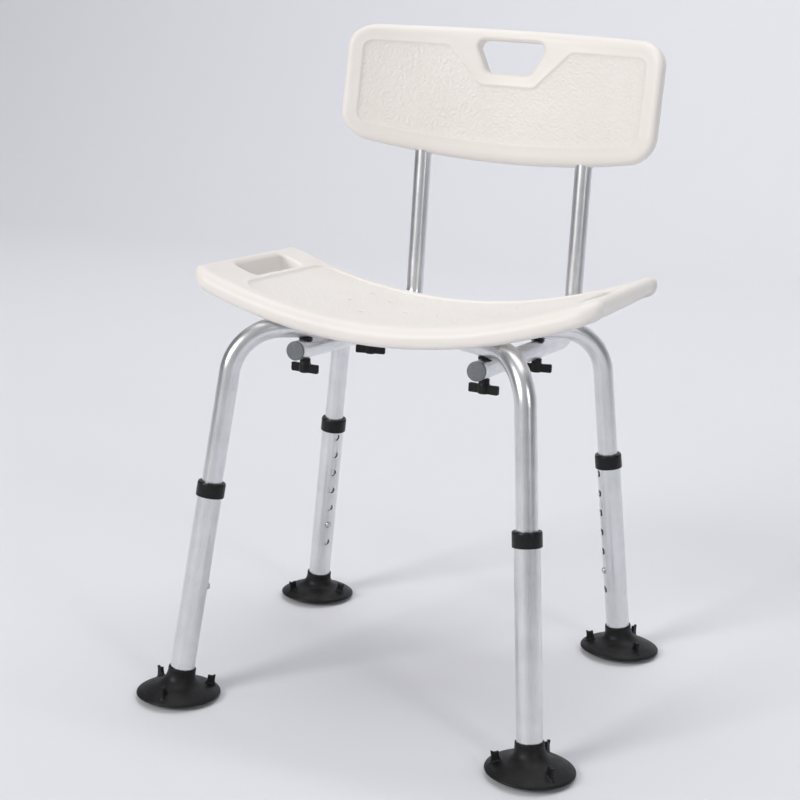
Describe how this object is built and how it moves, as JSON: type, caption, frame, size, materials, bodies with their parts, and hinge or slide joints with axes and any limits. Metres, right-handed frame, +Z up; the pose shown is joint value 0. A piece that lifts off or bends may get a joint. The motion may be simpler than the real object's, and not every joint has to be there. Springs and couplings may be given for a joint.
{
  "type": "shower chair",
  "caption": "Shower chair with a curved plastic seat, a back board with a hand slot, tubular crossed legs that slide out for height, and round rubber feet.",
  "frame": {"origin": "on the floor under the middle of the chair's bounding box", "axes": "+Z up, front of the seat towards -Y, +X to the right of a viewer who faces the front"},
  "size_m": [0.5396, 0.5504, 0.7747],
  "materials": {
    "ivory_plastic": "smooth warm ivory blow-moulded plastic with a fine leather grain in the sunken panels",
    "anodised_aluminium": "satin anodised drawn tube",
    "black_plastic": "moulded black nylon",
    "black_rubber": "matt moulded black rubber",
    "grey_plastic": "matt slate grey plastic",
    "stainless_steel": "plain stainless steel",
    "brass": "plain turned brass"
  },
  "bodies": {
    "chair_frame": {"seat_board": "ivory_plastic", "back_board": "ivory_plastic", "board_screw_left_lower": "stainless_steel", "board_screw_left_upper": "stainless_steel", "board_screw_right_lower": "stainless_steel", "board_screw_right_upper": "stainless_steel", "leg_arch_upper": "anodised_aluminium", "leg_arch_lower": "anodised_aluminium", "centre_bolt": "stainless_steel", "centre_nut": "stainless_steel", "backrest_tube_left": "anodised_aluminium", "tube_cap_left": "grey_plastic", "backrest_tube_right": "anodised_aluminium", "tube_cap_right": "grey_plastic", "threaded_insert_front_left": "brass", "stud_front_left": "stainless_steel", "saddle_front_left": "black_plastic", "threaded_insert_front_right": "brass", "stud_front_right": "stainless_steel", "saddle_front_right": "black_plastic", "threaded_insert_rear_left": "brass", "stud_rear_left": "stainless_steel", "saddle_rear_left": "black_plastic", "threaded_insert_rear_right": "brass", "stud_rear_right": "stainless_steel", "saddle_rear_right": "black_plastic", "snap_spring_front_left": "stainless_steel", "snap_spring_front_right": "stainless_steel", "snap_spring_rear_left": "stainless_steel", "snap_spring_rear_right": "stainless_steel"},
    "leg_front_left": {"lower_leg_front_left": "anodised_aluminium", "collar_front_left": "black_plastic", "foot_front_left": "black_rubber"},
    "leg_front_right": {"lower_leg_front_right": "anodised_aluminium", "collar_front_right": "black_plastic", "foot_front_right": "black_rubber"},
    "leg_rear_left": {"lower_leg_rear_left": "anodised_aluminium", "collar_rear_left": "black_plastic", "foot_rear_left": "black_rubber"},
    "leg_rear_right": {"lower_leg_rear_right": "anodised_aluminium", "collar_rear_right": "black_plastic", "foot_rear_right": "black_rubber"},
    "button_front_left": {"snap_button_front_left": "stainless_steel"},
    "button_front_right": {"snap_button_front_right": "stainless_steel"},
    "button_rear_left": {"snap_button_rear_left": "stainless_steel"},
    "button_rear_right": {"snap_button_rear_right": "stainless_steel"},
    "knob_front_left": {"wing_knob_front_left": "black_plastic"},
    "knob_front_right": {"wing_knob_front_right": "black_plastic"},
    "knob_rear_left": {"wing_knob_rear_left": "black_plastic"},
    "knob_rear_right": {"wing_knob_rear_right": "black_plastic"}
  },
  "joints": [
    {"name": "leg_slide_front_left", "type": "slide", "parent": "chair_frame", "child": "leg_front_left", "axis": [-0.1042, -0.1545, -0.9825], "range_m": [-0.0508, 0.1016]},
    {"name": "leg_slide_front_right", "type": "slide", "parent": "chair_frame", "child": "leg_front_right", "axis": [0.1042, -0.1545, -0.9825], "range_m": [-0.0508, 0.1016]},
    {"name": "leg_slide_rear_left", "type": "slide", "parent": "chair_frame", "child": "leg_rear_left", "axis": [-0.1042, 0.0141, -0.9945], "range_m": [-0.0254, 0.127]},
    {"name": "leg_slide_rear_right", "type": "slide", "parent": "chair_frame", "child": "leg_rear_right", "axis": [0.1042, 0.0141, -0.9945], "range_m": [-0.0254, 0.127]},
    {"name": "button_press_front_left", "type": "slide", "parent": "chair_frame", "child": "button_front_left", "axis": [-0.7698, -0.613, 0.1781], "range_m": [0, 0.0045], "stiffness_N_per_m": 2000, "springref_m": -0.003, "deforming": ["snap_spring_front_left"]},
    {"name": "button_press_front_right", "type": "slide", "parent": "chair_frame", "child": "button_front_right", "axis": [0.7698, -0.613, 0.1781], "range_m": [0, 0.0045], "stiffness_N_per_m": 2000, "springref_m": -0.003, "deforming": ["snap_spring_front_right"]},
    {"name": "button_press_rear_left", "type": "slide", "parent": "chair_frame", "child": "button_rear_left", "axis": [-0.7698, 0.632, 0.0896], "range_m": [0, 0.0045], "stiffness_N_per_m": 2000, "springref_m": -0.003, "deforming": ["snap_spring_rear_left"]},
    {"name": "button_press_rear_right", "type": "slide", "parent": "chair_frame", "child": "button_rear_right", "axis": [0.7698, 0.632, 0.0896], "range_m": [0, 0.0045], "stiffness_N_per_m": 2000, "springref_m": -0.003, "deforming": ["snap_spring_rear_right"]},
    {"name": "knob_turn_front_left", "type": "hinge", "parent": "chair_frame", "child": "knob_front_left", "pos_m": [-0.111, -0.10967, 0.39732], "axis": [0, 0.0709, 0.9975], "continuous": true},
    {"name": "knob_turn_front_right", "type": "hinge", "parent": "chair_frame", "child": "knob_front_right", "pos_m": [0.111, -0.10967, 0.39732], "axis": [0, 0.0709, 0.9975], "continuous": true},
    {"name": "knob_turn_rear_left", "type": "hinge", "parent": "chair_frame", "child": "knob_rear_left", "pos_m": [-0.111, 0.06985, 0.38457], "axis": [0, 0.0709, 0.9975], "continuous": true},
    {"name": "knob_turn_rear_right", "type": "hinge", "parent": "chair_frame", "child": "knob_rear_right", "pos_m": [0.111, 0.06985, 0.38457], "axis": [0, 0.0709, 0.9975], "continuous": true}
  ]
}
